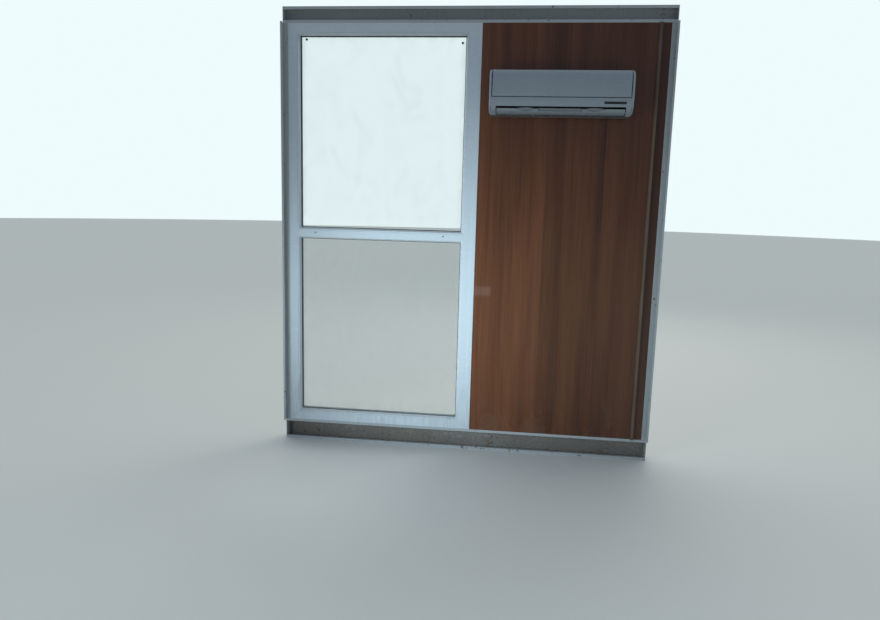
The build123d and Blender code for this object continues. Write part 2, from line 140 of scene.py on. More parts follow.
class SiteCabinSizes(bpy.types.PropertyGroup):
    """Sizes of the softened edges, the lining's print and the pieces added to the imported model."""

    plank: length("Plank width", "Width of one plank in the lining's print", 0.120)
    patch: place("Pale patch", "Width, foot and top of the rubbed patch beside the cover trim",
                 0.092, 1.070, 1.094)
    patch_blur: length("Patch blur", "How softly the rubbed patch ends", 0.034)
    edge: length("Edge rounding", "Softening of metal, plastic and board edges", 0.0008)
    shell_edge: length("Shell rounding", "Softening of the air conditioner's edges", 0.0016)
    gasket: length("Gasket width", "Strip of black gasket that shows round each pane", 0.0032)
    screw: length("Frame screw radius", "Head of a window frame screw", 0.0046)
    screw_insets: place("Frame screw insets", "From the transom's two ends, and above its middle",
                        0.121, 0.132, 0.003)
    pad: length("Pad size", "Half width of a rubber pad on the upper pane", 0.0065)
    left_pad: place("Left pad inset", "From the left jamb and the head's bead", 0.041, 0.021)
    right_pad: place("Right pad inset", "From the right jamb and the head's bead", 0.024, 0.041)
    hexagon: length("Hexagon radius", "Head of a sheet screw across its flats, halved", 0.0040)
    washer: length("Washer radius", "Rubber backed washer of a sheet screw", 0.0080)
    rivet: length("Rivet radius", "Head of a trim rivet", 0.0036)
    rivet_inset: length("Rivet inset", "From a trim's edge to its rivets", 0.010)
    screw_margin: length("Screw margin", "From the sheet's ends to its rows of screws", 0.200)
    trim_margin: length("Trim margin", "From the outer trim's ends to its rivets", 0.050)
    drip_margin: length("Drip margin", "From the drip sill's ends to its rivets", 0.060)
    sheet: length("Sheet thickness", "Thickness of the ribbed sheet", 0.0015)
    weld: length("Weld width", "Half width of a weld bead", 0.0030)
    sealant: length("Sealant width", "Leg of a sealant fillet", 0.0040)
    rib_pitch: length("Rib pitch", "Spacing of the sheet's ribs", 0.125)
    fin_pitch: length("Fin pitch", "Spacing of the coil's fins", 0.0020)
    fin: length("Fin thickness", "Thickness of a fin's edge", 0.0002)
    fin_reach: length("Fin reach", "How far the fins stand out of the coil", 0.0015)
    net_pitch: length("Net pitch", "Spacing of the filter netting's threads", 0.0022)
    net_margin: length("Net margin", "From the filter's edge to the ends of its threads", 0.0010)
    thread: length("Thread radius", "Half the thickness of a thread", 0.00012)


class SiteCabinFlap(bpy.types.PropertyGroup):
    """Sizes of the pads on the air conditioner's flap, for the painted shadows laid under them."""

    lean: turn("Flap lean", "Tilt of the closed flap's upper edge towards the room", 45)
    chord: length("Flap chord", "From the flap's lower edge to its upper edge", 0.046)
    bow: length("Flap bow", "How far the flap's middle bulges", 0.003)
    sheet: length("Flap sheet", "Thickness of the flap", 0.004)
    lens: length("Lens pad length", "Length of a lens shaped pad", 0.118)
    lens_spacing: length("Lens pad spacing", "Between the middles of the two lens pads", 0.404)
    bar: length("Bar pad length", "Length of the pad between the lenses", 0.250)
    drop: length("Pad drop", "From the flap's upper edge to a pad's lower edge", 0.009)
    # Painted shadow under each pad: width of the dark strip and how far it stands off the flap
    seam: length("Seam width", "Dark joint that shows under a pad", 0.0045)
    shadow_standoff: length("Seam depth", "How far the joint's strip stands off the flap", 0.0004)


class SiteCabinStudio(bpy.types.PropertyGroup):
    """The plain room that the wall is shown in."""

    camera: place("Camera", "Where the camera stands", 0.3357, -4.540, 1.6786)
    heading: turn("Heading", "Turn of the camera from +Y towards +X", -6.369)
    pitch: turn("Pitch", "Tilt of the camera above the level", -9.202)
    roll: turn("Roll", "Turn of the camera about its own axis", 1.509)
    lens: amount("Lens", "Focal length in millimetres on a 36 mm sensor", 28.449, 10, 200)
    floor: colour("Floor", "Pale studio floor", 0.72, 0.70, 0.66)
    speck: colour("Floor speck", "Fine speckle in the studio floor", 0.50, 0.50, 0.48)
    outdoors: colour("Outdoor light", "Soft light from beyond the window", 0.86, 0.97, 0.98)
    indoors: colour("Indoor light", "Soft light from the room's side", 0.19, 0.23, 0.30)
    key: amount("Key light", "Power in watts of the light before the window", 8.6, 0, 2000)
    fill: amount("Ceiling light", "Power in watts of the wide light above the room", 18, 0, 2000)
    back: amount("Back light", "Power in watts of the light outdoors", 60, 0, 2000)
    daylight: colour("Daylight", "Colour of the key light", 0.74, 0.915, 1.0)
    skylight: colour("Skylight", "Colour of the ceiling light", 0.60, 0.79, 1.0)
    floor_size: length("Floor size", "Radius of the floor", 40.0)


# Node trees
class Reading:
    """An output socket that can be used in sums: each sum adds a Math node."""

    def __init__(self, recipe, socket):
        self.recipe = recipe
        self.socket = socket

    def sum(self, operation, first, second):
        """A Math node on two readings or numbers."""
        return self.recipe.add("ShaderNodeMath", {"operation": operation}, {0: first, 1: second})

    def __add__(self, other):
        return self.sum("ADD", self, other)

    def __radd__(self, other):
        return self.sum("ADD", other, self)

    def __sub__(self, other):
        return self.sum("SUBTRACT", self, other)

    def __rsub__(self, other):
        return self.sum("SUBTRACT", other, self)

    def __mul__(self, other):
        return self.sum("MULTIPLY", self, other)

    def __rmul__(self, other):
        return self.sum("MULTIPLY", other, self)

    def __floordiv__(self, other):
        return self.sum("FLOOR", self.sum("DIVIDE", self, other), 0.0)

    def __rfloordiv__(self, other):
        return self.sum("FLOOR", self.sum("DIVIDE", other, self), 0.0)

    def most(self, other):
        """The larger of two readings."""
        return self.sum("MAXIMUM", self, other)


class Recipe:
    """A node tree under construction. Patterns are laid out in the wall's own metres."""

    def __init__(self, tree):
        self.tree = tree
        self.tree.nodes.clear()

    def add(self, kind, settings=None, values=None, output=0):
        """Add a node: its settings first, then the values or links of its sockets."""
        node = self.tree.nodes.new(kind)
        for name, value in (settings or {}).items():
            if name == "stops":
                self.set_stops(node.color_ramp.elements, value)
            else:
                setattr(node, name, value)
        for name, value in (values or {}).items():
            socket = node.inputs[name]
            if isinstance(value, Reading):
                self.tree.links.new(value.socket, socket)
            elif socket.type == "RGBA":
                socket.default_value = (*value, 1.0)
            else:
                socket.default_value = value
        return Reading(self, node.outputs[output]) if node.outputs else None

    @staticmethod
    def set_stops(elements, stops):
        """Fill a colour ramp with pairs of position and colour."""
        while len(elements) < len(stops):
            elements.new(1.0)
        for element, (position, tint) in zip(elements, stops):
            element.position = position
            element.color = (*tint, 1.0)

    def axes(self, vector=None):
        """The three parts of a vector, which is the place on the object by default."""
        vector = vector or self.add("ShaderNodeTexCoord", output="Object")
        return [self.add("ShaderNodeSeparateXYZ", {}, {0: vector}, part) for part in range(3)]

    def spot(self, x, y, z):
        """A vector from three readings or numbers."""
        return self.add("ShaderNodeCombineXYZ", {}, {0: x, 1: y, 2: z})

    def noise(self, per_metre, detail=2.0, roughness=0.5, distortion=0.0, at=None):
        """Noise with so many features a metre along each axis."""
        at = at or self.add("ShaderNodeTexCoord", output="Object")
        scaled = self.add("ShaderNodeVectorMath", {"operation": "MULTIPLY"}, {0: at, 1: per_metre})
        return self.add("ShaderNodeTexNoise", {}, {
            "Vector": scaled, "Scale": 1.0, "Detail": detail,
            "Roughness": roughness, "Distortion": distortion,
        })

    def cells(self, per_metre, output="Distance"):
        """Cells of about so many a metre."""
        at = self.add("ShaderNodeTexCoord", output="Object")
        return self.add("ShaderNodeTexVoronoi", {}, {"Vector": at, "Scale": per_metre}, output)

    def between(self, value, low, high):
        """0 below low, 1 above high and a smooth step between them."""
        return self.add("ShaderNodeMapRange", {"interpolation_type": "SMOOTHSTEP"},
                        {"Value": value, "From Min": low, "From Max": high})

    def inside(self, value, low, high, soft):
        """1 between low and high, with soft ends outside them."""
        return self.between(value, low - soft, low) * (1 - self.between(value, high, high + soft))

    def mix(self, share, first, second, kind="MIX"):
        """Mix two colours."""
        return self.add("ShaderNodeMix", {"data_type": "RGBA", "blend_type": kind},
                        {0: share, 6: first, 7: second}, 2)

    def ramp(self, value, *stops):
        """A colour ramp over a reading."""
        return self.add("ShaderNodeValToRGB", {"stops": stops}, {0: value})

    def facing_up(self, low=0.5, high=0.95, way=1):
        """1 where the surface faces up, or down where the way is -1."""
        normal = self.add("ShaderNodeTexCoord", output="Normal")
        return self.between(self.axes(normal)[2] * way, low, high)

    def relief(self, height, depth, under=None):
        """A bump of so many metres, over another one if there is one."""
        values = {"Height": height, "Distance": depth, "Strength": 1.0}
        if under:
            values["Normal"] = under
        return self.add("ShaderNodeBump", {}, values)

    def surface(self, tint, roughness, normal=None, **fixed):
        """A Principled shader."""
        values = {"Base Color": tint, "Roughness": roughness}
        if normal:
            values["Normal"] = normal
        for name, value in fixed.items():
            values[name.replace("_", " ").title().replace("Ior", "IOR")] = value
        return self.add("ShaderNodeBsdfPrincipled", {}, values)

    def finish(self, shader):
        """Send a shader to the material's output."""
        self.add("ShaderNodeOutputMaterial", {}, {"Surface": shader})


def new_finish(name):
    """The recipe of a material's nodes. A packed material of that name is written anew."""
    material = bpy.data.materials.get(name) or bpy.data.materials.new(name)
    material.use_nodes = True
    return Recipe(material.node_tree)


def finish_named(name):
    """A material that the finishes operator has made."""
    material = bpy.data.materials.get(name)
    if material is None:
        raise RuntimeError(f"the finish {name} isn't mixed yet: run Mix Finishes first")
    return material


# Finishes
def painted_metal(name, tint, colours, roughness, rust_share):
    """Sprayed paint on steel: orange peel, dust on ledges, chips with rust, mud low outside."""
    paint = new_finish(name)
    _, y, z = paint.axes()
    cloud = paint.noise((2.1, 2.1, 1.3), 4, 0.6)
    fine = paint.noise((60, 60, 60), 4, 0.65)
    rain = paint.noise((55, 55, 1.1), 3, 0.6)
    outdoors = paint.between(y, 0.018, 0.03)
    low = 1 - paint.between(z, 0.02, 0.55)
    at_foot = 1 - paint.between(z, 0.0, 0.16)
    streaks = paint.between(rain, 0.47, 0.72) * (0.25 + 0.6 * cloud) * (0.35 + 0.65 * outdoors)
    worn = fine * 0.75 + paint.noise((9, 9, 7), 5, 0.7) * 0.45 + at_foot * 0.045
    chip = paint.between(worn, 0.765 - rust_share, 0.775 - rust_share)
    halo = paint.between(worn, 0.715 - rust_share, 0.775 - rust_share)
    dust = paint.facing_up() * paint.between(fine, 0.30, 0.62)
    speck = paint.between(paint.noise((150, 150, 150), 2, 0.6) + low * 0.13, 0.66, 0.70)
    splash = paint.between(cloud * 0.5 + fine * 0.4 + low * 0.42 - 0.1, 0.52, 0.78)
    mud = (speck * 0.7).most(splash * 0.75) * low * (0.05 + 0.95 * outdoors)
    coat = paint.mix(0.16, tint, paint.ramp(cloud, (0.3, (0.60, 0.60, 0.58)), (0.7, (1, 1, 1))),
                     "MULTIPLY")
    coat = paint.mix(streaks * 0.34, coat, tuple(0.36 * part for part in tint))
    coat = paint.mix(dust * 0.55, coat, colours.dust)
    coat = paint.mix(halo * 0.5, coat, colours.rust)
    coat = paint.mix(chip, coat, paint.mix(fine, colours.rust, colours.old_rust))
    coat = paint.mix(mud, coat, colours.mud)
    rough = roughness + cloud * 0.10 + dust * 0.25 + chip * 0.35 + mud * 0.35 + streaks * 0.12
    peel = paint.relief(paint.noise((520, 520, 520), 1), 0.00006)
    pits = paint.relief(chip * fine * -1.0 + mud * fine, 0.0005, peel)
    paint.finish(paint.surface(coat, rough, pits))


def moulded_plastic(name, tint, colours, roughness, dust_share, grime=0.0, underside_shade=0.0):
    """Satin plastic: fine moulded texture, a slow change of tone, dust on ledges, faint grime,
    and painted shade that darkens the undersides."""
    plastic = new_finish(name)
    z = plastic.axes()[2]
    cloud = plastic.noise((5, 5, 4), 3, 0.55)
    smear = plastic.noise((14, 14, 34), 4, 0.6, 0.4)
    wisp = plastic.noise((95, 95, 9), 3, 0.6)
    dust = plastic.facing_up() * plastic.between(plastic.noise((70, 70, 70), 4, 0.7), 0.25, 0.6)
    film = plastic.between(smear * 0.6 + cloud * 0.4, 0.45, 0.72)
    low = 1 - plastic.between(z, 0.14, 0.9)
    grey = plastic.between(wisp * 0.7 + low * 0.18 + cloud * 0.15, 0.50, 0.78)
    body = plastic.mix(0.14, tint, plastic.ramp(cloud, (0.3, (0.72, 0.73, 0.72)), (0.7, (1, 1, 1))),
                       "MULTIPLY")
    body = plastic.mix((film * 0.12 + grey * 0.5) * grime, body, colours.grime)
    body = plastic.mix(dust * dust_share, body, colours.dust)
    # Painted shade on the surfaces that face down
    under = plastic.facing_up(0.42, 1.0, -1) * (0.75 + cloud * 0.25)
    body = plastic.mix(under * underside_shade, body, colours.underside_shade)
    rough = roughness + film * 0.13 + dust * 0.3 + grey * 0.08
    grain = plastic.relief(plastic.noise((1400, 1400, 1400), 2, 0.6), 0.00002)
    wave = plastic.relief(cloud, 0.0006, grain)
    plastic.finish(plastic.surface(body, rough, wave))


def wood_laminate(colours, sizes):
    """Gloss melamine board printed with dark reddish planks, grain upright."""
    wood = new_finish("wood_laminate")
    x, y, z = wood.axes()
    plank = x // sizes.plank
    tone = wood.add("ShaderNodeTexWhiteNoise", {"noise_dimensions": "1D"}, {"W": plank})
    shift = tone * 7.0
    grain = wood.spot(x, y, z + shift)
    broad = wood.noise((13, 13, 0.55), 3, 0.45, 0.4, grain)
    streak = wood.noise((120, 120, 2.2), 4, 0.55, 0.3, grain)
    fibre = wood.noise((1100, 1100, 16), 2, 0.6, 0.0, grain)
    pore = wood.between(wood.noise((1500, 1500, 40), 1, 0.5, 0.0, grain), 0.62, 0.70)
    figure = broad * 0.48 + streak * 0.32 + fibre * 0.20
    print_tone = wood.ramp(figure, (0.28, colours.wood_dark), (0.49, colours.wood_middle),
                           (0.72, colours.wood_light))
    lining_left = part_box("window_cover_trim")[1].x
    # Painted light: the print is lighter near the window and darker towards the right, a falloff of
    # light
    painted_light_falloff = 1 - wood.between(x, lining_left - 0.3, lining_left + 1.0)
    print_tone = wood.mix(1.0, print_tone, tone * 0.26 + painted_light_falloff * 0.62 + 0.62, "MULTIPLY")
    print_tone = wood.mix(pore * 0.45, print_tone, colours.wood_dark)
    blur = sizes.patch_blur
    mark = (wood.inside(x, lining_left, lining_left + sizes.patch[0], blur)
            * wood.inside(z, sizes.patch[1], sizes.patch[2], blur) * (0.6 + streak * 0.6))
    print_tone = wood.mix(mark * 0.17, print_tone, colours.rubbed)
    wiped = wood.between(wood.noise((7, 7, 3), 4, 0.6, 0.8), 0.45, 0.75)
    low = 1 - wood.between(z, 0.14, 0.5)
    print_tone = wood.mix(low * wiped * 0.09, print_tone, colours.dust)
    rough = 0.13 + wiped * 0.10 + mark * 0.25 + low * 0.12 + fibre * 0.04
    emboss = wood.relief(fibre * 0.7 + streak * 0.3 - pore * 0.6, 0.00003)
    sheet_wave = wood.relief(wood.noise((3.2, 3.2, 1.6), 2), 0.0022, emboss)
    wood.finish(wood.surface(print_tone, rough, sheet_wave, specular_ior_level=0.5))


def brown_trim(colours):
    """Brown extruded trim with fine draw lines and a slow change of tone."""
    trim = new_finish("brown_trim")
    line = trim.noise((700, 700, 3), 2, 0.6)
    cloud = trim.noise((6, 6, 5), 4, 0.6)
    dark = tuple(0.62 * part for part in colours.corner)
    tint = trim.mix(trim.between(line * 0.6 + cloud * 0.4, 0.38, 0.62), dark, colours.corner)
    trim.finish(trim.surface(tint, 0.30 + cloud * 0.15, trim.relief(line, 0.00003)))


def window_glass(colours):
    """Clear pane with a thin uneven film of dust, heavier at its edges and foot."""
    glass = new_finish("window_glass")
    x, _, z = glass.axes()
    low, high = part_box("lower_glass")[0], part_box("upper_glass")[1]
    edge = (1 - glass.inside(x, low.x + 0.06, high.x - 0.06, 0.05)).most(
        1 - glass.inside(z, low.z + 0.10, high.z - 0.06, 0.09))
    wiped = glass.noise((6, 6, 4), 5, 0.62, 1.2)
    rain = glass.noise((90, 90, 2.4), 3, 0.6)
    speck = glass.between(glass.noise((260, 260, 260), 1), 0.72, 0.76)
    film = glass.between(wiped, 0.42, 0.8) * 0.018 + glass.between(rain, 0.58, 0.8) * 0.015
    film = film + edge * glass.between(wiped, 0.25, 0.6) * 0.05 + speck * 0.05
    clear = glass.surface((0.985, 0.997, 0.995), 0.0, transmission_weight=1.0, ior=1.5)
    dusty = glass.add("ShaderNodeBsdfDiffuse", {}, {"Color": colours.film})
    glass.finish(glass.add("ShaderNodeMixShader", {}, {0: film, 1: clear, 2: dusty}))


def bare_metal(name, tint, roughness, scratches=(30, 30, 900), spangle=0.0):
    """Zinc, aluminium or dull steel with fine drawn scratches."""
    metal = new_finish(name)
    scratch = metal.noise(scratches, 3, 0.6)
    cloud = metal.noise((22, 22, 22), 4, 0.6)
    crystal = metal.cells(90, "Color")
    body = metal.mix(0.35, tint, metal.ramp(cloud, (0.3, (0.5, 0.5, 0.5)), (0.7, (1, 1, 1))),
                     "MULTIPLY")
    body = metal.mix(spangle, body, crystal, "MULTIPLY")
    rough = roughness + scratch * 0.15 + cloud * 0.1
    metal.finish(metal.surface(body, rough, metal.relief(scratch, 0.00002), metallic=0.9))


def rubber(colours):
    """Black gasket rubber with pale dust in its pores."""
    strip = new_finish("rubber")
    grain = strip.noise((420, 420, 420), 3, 0.65)
    tint = strip.mix(strip.between(grain, 0.50, 0.85) * 0.4, colours.rubber, colours.dust)
    strip.finish(strip.surface(tint, 0.55 + grain * 0.25, strip.relief(grain, 0.00008)))


def insulation(colours):
    """Pale open foam, yellowed unevenly."""
    foam = new_finish("foam")
    bubble = foam.cells(420)
    cloud = foam.noise((12, 12, 12), 4)
    tint = foam.mix(cloud, colours.foam, tuple(0.7 * part for part in colours.foam))
    foam.finish(foam.surface(tint, 0.9, foam.relief(bubble, 0.0012)))


def display_glass(colours):
    """Smoked display window with faint wiping marks."""
    smoked = new_finish("ac_display")
    smear = smoked.noise((60, 60, 160), 4, 0.6, 0.5)
    tint = smoked.mix(smear * 0.12, colours.display, colours.dust)
    smoked.finish(smoked.surface(tint, 0.10 + smear * 0.12, smoked.relief(smear, 0.00001)))


# Meshes
class Shape:
    """Points and faces under construction, in the wall's own metres."""

    def __init__(self):
        self.points = []
        self.faces = []

    def skin(self, loops, closed=False):
        """Skin loops of equal length, and cap the two ends unless they meet."""
        first = len(self.points)
        count = len(loops[0])
        for loop in loops:
            self.points += loop
        rows = [first + row * count for row in range(len(loops))]
        pairs = list(zip(rows, rows[1:])) + ([(rows[-1], rows[0])] if closed else [])
        for here, there in pairs:
            for side in range(count):
                other = (side + 1) % count
                self.faces.append((here + side, here + other, there + other, there + side))
        if not closed:
            self.faces.append(tuple(range(rows[0], rows[0] + count))[::-1])
            self.faces.append(tuple(range(rows[-1], rows[-1] + count)))

    def box(self, low, high):
        """A plain bar between two opposite corners."""
        loops = []
        for z in (low[2], high[2]):
            loops.append([Vector((low[0], low[1], z)), Vector((high[0], low[1], z)),
                          Vector((high[0], high[1], z)), Vector((low[0], high[1], z))])
        self.skin(loops)

    def turned(self, stand, stations, sides):
        """A head turned about an axis: stations are pairs of radius and height. A radius may
        be a function of the angle, which gives hexagons and driver recesses."""
        loops = []
        for radius, height in stations:
            loop = []
            for side in range(sides):
                angle = math.tau * side / sides
                reach = radius(angle) if callable(radius) else radius
                loop.append(stand @ Vector(
                    (reach * math.cos(angle), reach * math.sin(angle), height)))
            loops.append(loop)
        self.skin(loops)

    def run(self, start, end, away, aside, section, ripple=0.0):
        """A bead along a line. The section holds pairs along two directions, and a ripple
        swells it again and again as a weld does."""
        along = end - start
        steps = max(1, round(along.length / RIPPLE_PITCH * RIPPLE_STEPS)) if ripple else 1
        loops = []
        for step in range(steps + 1):
            swell = 1 + ripple * math.sin(math.tau * step / RIPPLE_STEPS + RIPPLE_START)
            middle = start + along * (step / steps)
            loops.append([middle + (away * a + aside * b) * swell for a, b in section])
        self.skin(loops)

    def ring(self, left, low, right, high, section):
        """A mitred ring in the wall's plane. The section holds pairs of inset and depth."""
        loops = []
        for x, z, inwards_x, inwards_z in ((left, low, 1, 1), (left, high, 1, -1),
                                           (right, high, -1, -1), (right, low, -1, 1)):
            loops.append([Vector((x + inwards_x * inset, depth, z + inwards_z * inset))
                          for inset, depth in section])
        self.skin(loops, closed=True)

    def make(self, name, body, finish):
        """Turn the faces into an object that rides on a body."""
        mesh = bpy.data.meshes.new(name)
        mesh.from_pydata(self.points, [], self.faces)
        solid = bmesh.new()
        solid.from_mesh(mesh)
        bmesh.ops.recalc_face_normals(solid, faces=solid.faces)
        solid.to_mesh(mesh)
        solid.free()
        mesh.shade_smooth()
        mesh.set_sharp_from_angle(angle=SMOOTH_ANGLE)
        mesh.materials.append(finish_named(finish))
        piece = bpy.data.objects.new(name, mesh)
        bpy.context.scene.collection.objects.link(piece)
        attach(piece, body)


def stand_at(x, y, z, outward, spin=0.0):
    """A frame on a surface: its Z axis points away from the surface."""
    turned = outward.to_track_quat("Z", "Y").to_matrix().to_4x4()
    return Matrix.Translation((x, y, z)) @ turned @ Matrix.Rotation(spin, 4, "Z")


def hexagon(flat):
    """Radius of a hexagon as a function of the angle."""
    return lambda angle: flat / math.cos((angle % (math.tau / 6)) - math.tau / 12)


def square(half):
    """Radius of a square with cut corners as a function of the angle."""
    return lambda angle: half / max(abs(math.cos(angle)), abs(math.sin(angle)), 0.82)


def cross(reach):
    """Radius of a cross recess as a function of the angle."""
    return lambda angle: reach * (0.42 + 0.58 * abs(math.cos(2 * angle)) ** 3)


def pan_screw(shape, stand, radius):
    """A domed head with a cross recess."""
    shape.turned(stand, [
        (radius, 0), (radius, 0.22 * radius), (0.93 * radius, 0.42 * radius),
        (0.74 * radius, 0.60 * radius), (cross(0.56 * radius), 0.66 * radius),
        (cross(0.46 * radius), 0.26 * radius), (0.04 * radius, 0.16 * radius),
    ], 32)


def sheet_screw(shape, stand, flat, washer):
    """A hexagon head on a domed washer."""
    head = hexagon(flat)
    shape.turned(stand, [
        (washer, 0), (washer, 0.0007), (0.92 * washer, 0.0014), (0.66 * washer, 0.0019),
        (0.64 * washer, 0.0023), (head, 0.0023), (head, 0.0053), (0.86 * flat, 0.0060),
        (0.3 * flat, 0.0060),
    ], 24)


def rivet(shape, stand, radius):
    """A domed rivet head with the stub of its pin."""
    shape.turned(stand, [
        (radius, 0), (0.95 * radius, 0.28 * radius), (0.70 * radius, 0.48 * radius),
        (0.34 * radius, 0.54 * radius), (0.30 * radius, 0.40 * radius),
        (0.1 * radius, 0.40 * radius),
    ], 18)


def dress(finish, edge, *names):
    """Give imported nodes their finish, and soften their edges with modifiers."""
    for name in names:
        piece = nodes[name]
        piece.data.materials.clear()
        piece.data.materials.append(finish_named(finish))
        piece.data.shade_smooth()
        weld = piece.modifiers.new("join_corners", "WELD")
        weld.merge_threshold = JOIN_DISTANCE
        flat = piece.modifiers.new("join_flats", "DECIMATE")
        flat.decimate_type = "DISSOLVE"
        flat.angle_limit = FLAT_ANGLE
        if edge:
            soft = piece.modifiers.new("soft_edges", "BEVEL")
            soft.width = edge
            soft.segments = 2
            soft.limit_method = "ANGLE"
            soft.angle_limit = EDGE_ANGLE
        piece.modifiers.new("even_shading", "WEIGHTED_NORMAL")


def spread(low, high, margin, count):
    """Evenly spaced places between two ends, with a margin at each."""
    pitch = (high - low - 2 * margin) / (count - 1)
    return [low + margin + row * pitch for row in range(count)]


def visible_glass():
    """Left, right and the two heights of each pane between its beads."""
    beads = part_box("upper_glazing_beads"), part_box("lower_glazing_beads")
    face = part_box("window_transom")[1].z - beads[0][0].z
    left, right = beads[0][0].x + face, beads[0][1].x - face
    return left, right, [(low.z + face, high.z - face) for low, high in beads]


# Operators
class SITECABIN_OT_finishes(bpy.types.Operator):
    """Mix every finish from the colour settings"""

    bl_idname = "site_cabin.finishes"
    bl_label = "Mix Finishes"

    def execute(self, context):
        colours = context.scene.site_cabin_colours
        sizes = context.scene.site_cabin_sizes
        painted_metal("steel_paint", colours.steel, colours, 0.34, rust_share=0.0)
        painted_metal("sheet_paint", colours.sheet, colours, 0.30, rust_share=-0.03)
        moulded_plastic("window_plastic", colours.frame, colours, 0.24, 0.45, grime=0.5)
        moulded_plastic("ac_shell", colours.unit, colours, 0.26, 0.75, grime=0.35, underside_shade=0.85)
        moulded_plastic("ac_dark", colours.inside, colours, 0.45, 0.6)
        moulded_plastic("sealant", colours.sealant, colours, 0.42, 0.5, grime=1.0)
        wood_laminate(colours, sizes)
        brown_trim(colours)
        window_glass(colours)
        bare_metal("zinc", colours.metal, 0.30)
        bare_metal("dull_steel", tuple(0.16 * part for part in colours.metal), 0.50)
        bare_metal("spacer_metal", colours.metal, 0.28, scratches=(300, 300, 6))
        bare_metal("coil_fins", colours.metal, 0.30, scratches=(900, 60, 60))
        bare_metal("galvanised_sheet", colours.metal, 0.32, scratches=(40, 40, 40), spangle=0.3)
        rubber(colours)
        insulation(colours)
        display_glass(colours)
        return {"FINISHED"}


class SITECABIN_OT_steel_portal(bpy.types.Operator):
    """Finish the posts and beams and lay their weld beads"""

    bl_idname = "site_cabin.steel_portal"
    bl_label = "Steel Portal"

    def execute(self, context):
        sizes = context.scene.site_cabin_sizes
        dress("steel_paint", sizes.edge, "floor_beam", "roof_beam", "left_corner_post",
              "right_corner_post", "window_post")
        width = sizes.weld
        angles = [math.pi * step / BEAD_FACETS for step in range(BEAD_FACETS + 1)]
        half_round = [(width * BEAD_RISE * math.sin(angle), width * math.cos(angle))
                      for angle in angles]
        post_low, post_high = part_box("right_corner_post")
        front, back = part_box("window_head")[0].y, post_high.y
        box_left, box_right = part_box("lining_board")[1].x, post_high.x - width
        welds = Shape()
        for side in (-1, 1):
            for z in (post_low.z, post_high.z):
                for y, outward in ((front, INDOORS), (back, OUTDOORS)):
                    start = Vector((side * (box_left + width), y, z))
                    end = Vector((side * box_right, y, z))
                    welds.run(start, end, outward, UP, half_round, ripple=0.14)
        welds.make("post_welds", "wall", "steel_paint")
        return {"FINISHED"}


class SITECABIN_OT_window_frame(bpy.types.Operator):
    """Finish the plastic window frame and add its screws and sealant"""

    bl_idname = "site_cabin.window_frame"
    bl_label = "Window Frame"

    def execute(self, context):
        sizes = context.scene.site_cabin_sizes
        dress("window_plastic", sizes.edge, "window_left_jamb", "window_right_jamb", "window_head",
              "window_sill", "window_transom", "window_cover_trim")
        dress("window_plastic", sizes.edge / 2, "upper_glazing_beads", "lower_glazing_beads")
        low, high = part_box("window_transom")
        middle = (low.z + high.z) / 2 + sizes.screw_insets[2]
        screws = Shape()
        left, right = low.x + sizes.screw_insets[0], high.x - sizes.screw_insets[1]
        for x, spin in ((left, 0.3), (right, 0.9)):
            pan_screw(screws, stand_at(x, low.y, middle, INDOORS, spin), sizes.screw)
        screws.make("transom_screws", "wall", "dull_steel")
        leg = sizes.sealant
        fillet = [(0, 0), (leg, 0), (leg * 0.45, leg * 0.45), (0, leg)]
        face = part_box("window_left_jamb")[1].y
        lap_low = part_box("floor_beam")[1].z
        lap_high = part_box("roof_beam")[0].z
        left = -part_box("right_corner_post")[0].x
        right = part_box("outer_window_trim")[0].x
        sealant = Shape()
        sealant.run(Vector((left, face, lap_low)), Vector((left, face, lap_high)),
                    OUTDOORS, EAST, fillet)
        sealant.run(Vector((left, face, lap_high)), Vector((right, face, lap_high)),
                    OUTDOORS, -UP, fillet)
        lap_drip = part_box("drip_sill")[1].z
        sealant.run(Vector((right, face, lap_drip)), Vector((right, face, lap_high)),
                    OUTDOORS, -EAST, [(a * 0.5, b * 0.7) for a, b in fillet])
        sealant.make("window_sealant", "wall", "sealant")
        return {"FINISHED"}


class SITECABIN_OT_glazing(bpy.types.Operator):
    """Finish the panes and add their gaskets and rubber pads"""

    bl_idname = "site_cabin.glazing"
    bl_label = "Glazing"

    def execute(self, context):
        sizes = context.scene.site_cabin_sizes
        dress("window_glass", 0, "upper_glass", "lower_glass")
        for name in ("upper_glass", "lower_glass"):
            nodes[name].visible_shadow = False
        dress("spacer_metal", 0, "upper_glass_spacer", "lower_glass_spacer")
        inner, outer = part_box("upper_glass")[0].y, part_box("upper_glass")[1].y
        left, right, panes = visible_glass()
        width = sizes.gasket
        gaskets = Shape()
        for low, high in panes:
            for face, out in ((inner, -1), (outer, 1)):
                section = [(0, face), (width, face), (width * 0.8, face + out * width * 0.5),
                           (0, face + out * width * 0.75)]
                gaskets.ring(left, low, right, high, section)
        gaskets.make("glass_gaskets", "wall", "rubber")
        top = panes[0][1]
        corners = {
            "left_glass_pad": (left + sizes.left_pad[0], top - sizes.left_pad[1], 0.5),
            "right_glass_pad": (right - sizes.right_pad[0], top - sizes.right_pad[1], 0.2),
        }
        for name, (x, z, spin) in corners.items():
            pad = Shape()
            pad.turned(stand_at(x, inner, z, INDOORS, spin), [
                (square(sizes.pad * 0.9), 0), (square(sizes.pad), 0.0008),
                (square(sizes.pad), 0.0030), (square(sizes.pad * 0.85), 0.0042),
                (sizes.pad * 0.4, 0.0042), (sizes.pad * 0.3, 0.0034), (0.0002, 0.0034),
            ], 40)
            pad.make(name, "wall", "rubber")
        return {"FINISHED"}


class SITECABIN_OT_lining(bpy.types.Operator):
    """Finish the wood print lining, the brown corner trim and the insulation"""

    bl_idname = "site_cabin.lining"
    bl_label = "Lining"

    def execute(self, context):
        sizes = context.scene.site_cabin_sizes
        dress("wood_laminate", sizes.edge / 2, "lining_board")
        dress("brown_trim", 0, "corner_trim")
        dress("foam", 0, "insulation_core")
        return {"FINISHED"}


